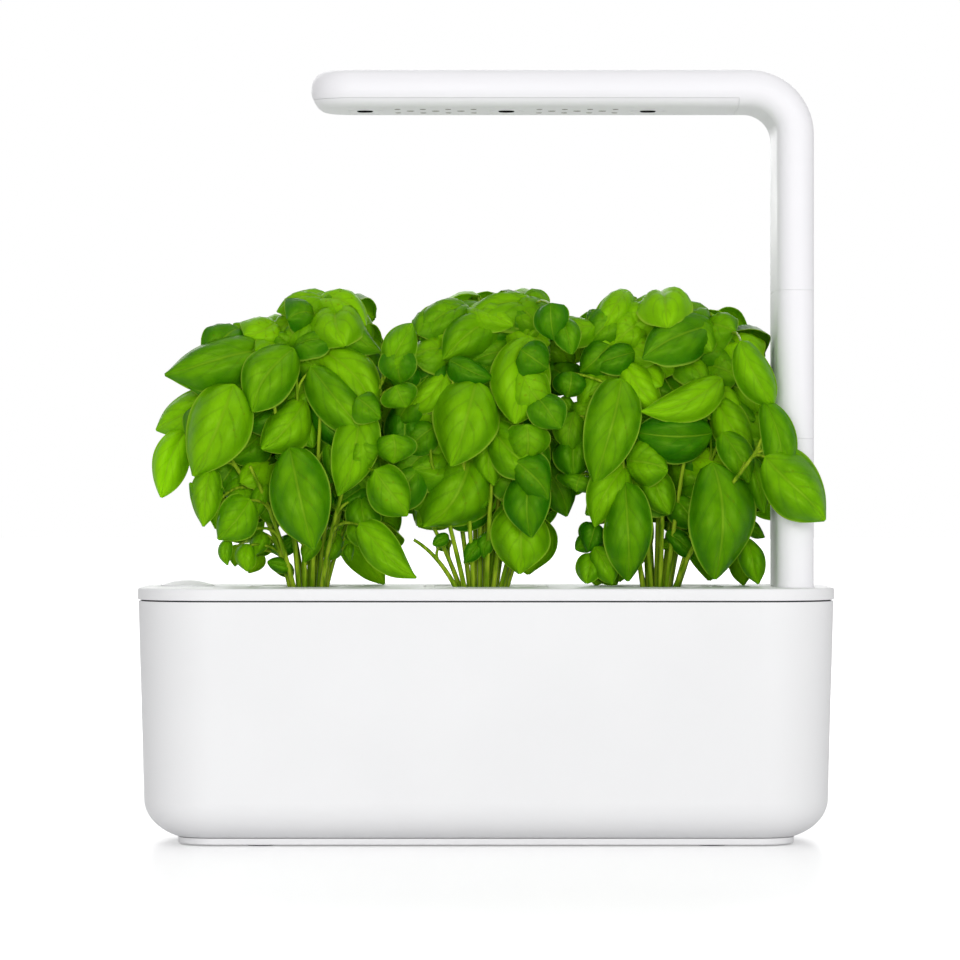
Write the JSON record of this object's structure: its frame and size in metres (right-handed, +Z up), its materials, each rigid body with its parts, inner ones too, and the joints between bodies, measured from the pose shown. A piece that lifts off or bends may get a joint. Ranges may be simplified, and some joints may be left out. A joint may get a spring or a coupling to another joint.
{
  "type": "countertop hydroponic garden",
  "caption": "Countertop hydroponic garden: white water tub with a lift-off lid, basil growing in pods, a float gauge and an L-shaped LED grow lamp on a plug-in mast.",
  "frame": {"origin": "bottom centre of the garden, on the worktop under its feet", "axes": "+Z up, +X along the tub towards the mast, +Y from the front to the back"},
  "size_m": [0.3, 0.12, 0.3336],
  "materials": {
    "casing": "satin white moulding",
    "lamp_casing": "glossy white moulding",
    "liner": "plain light grey moulding",
    "rubber": "matt",
    "steel": "plain",
    "black_steel": "black oxide",
    "black_plastic": "black moulding",
    "board": "white board with pale yellow lamps",
    "aluminium": "plain",
    "felt": "fibrous",
    "peat": "crumbly, damp",
    "leaf": "living basil leaf, waxy"
  },
  "bodies": {
    "base": {"planter_shell": "casing", "base_plate": "casing", "base_screw_1": "steel", "base_screw_2": "steel", "base_screw_3": "steel", "base_screw_4": "steel", "rubber_foot_1": "rubber", "rubber_foot_2": "rubber", "rubber_foot_3": "rubber", "rubber_foot_4": "rubber", "power_jack": "black_plastic", "water_tank": "liner", "mast_socket": "liner", "socket_pins": "black_plastic", "supply_lead": "black_plastic"},
    "lid_body": {"lid": "casing", "float_guide": "liner"},
    "float": {"float_cap": "casing", "float_stem": "casing", "float_bulb": "felt"},
    "pod_1": {"pod_basket_1": "liner", "peat_plug_1": "peat", "wick_1": "felt", "basil_1": "leaf"},
    "pod_2": {"pod_basket_2": "liner", "peat_plug_2": "peat", "wick_2": "felt", "basil_2": "leaf"},
    "pod_3": {"pod_basket_3": "liner", "peat_plug_3": "peat", "wick_3": "felt", "basil_3": "leaf"},
    "lower_mast": {"lower_arm": "lamp_casing", "lower_arm_contacts": "black_plastic"},
    "upper_mast": {"upper_arm": "lamp_casing", "upper_arm_contacts": "black_plastic"},
    "lamp": {"lamp_housing": "lamp_casing", "lamp_cover": "lamp_casing", "led_board": "board", "heat_spreader": "aluminium", "lamp_lead": "black_plastic", "lamp_contacts": "black_plastic", "lamp_screw_1": "black_steel", "lamp_screw_2": "black_steel", "lamp_screw_3": "black_steel"}
  },
  "joints": [
    {"name": "mast_lift", "type": "slide", "parent": "base", "child": "lower_mast", "axis": [0, 0, 1], "range_m": [0, 0.085]},
    {"name": "upper_arm_lift", "type": "slide", "parent": "lower_mast", "child": "upper_mast", "axis": [0, 0, 1], "range_m": [0, 0.015]},
    {"name": "lamp_lift", "type": "slide", "parent": "upper_mast", "child": "lamp", "axis": [0, 0, 1], "range_m": [0, 0.015]},
    {"name": "lid_lift", "type": "slide", "parent": "base", "child": "lid_body", "axis": [0, 0, 1], "range_m": [0, 0.07]},
    {"name": "float_rise", "type": "slide", "parent": "lid_body", "child": "float", "axis": [0, 0, 1], "range_m": [0, 0.03]},
    {"name": "pod_1_lift", "type": "slide", "parent": "lid_body", "child": "pod_1", "axis": [0, 0, 1], "range_m": [0, 0.063]},
    {"name": "pod_2_lift", "type": "slide", "parent": "lid_body", "child": "pod_2", "axis": [0, 0, 1], "range_m": [0, 0.063]},
    {"name": "pod_3_lift", "type": "slide", "parent": "lid_body", "child": "pod_3", "axis": [0, 0, 1], "range_m": [0, 0.063]}
  ]
}
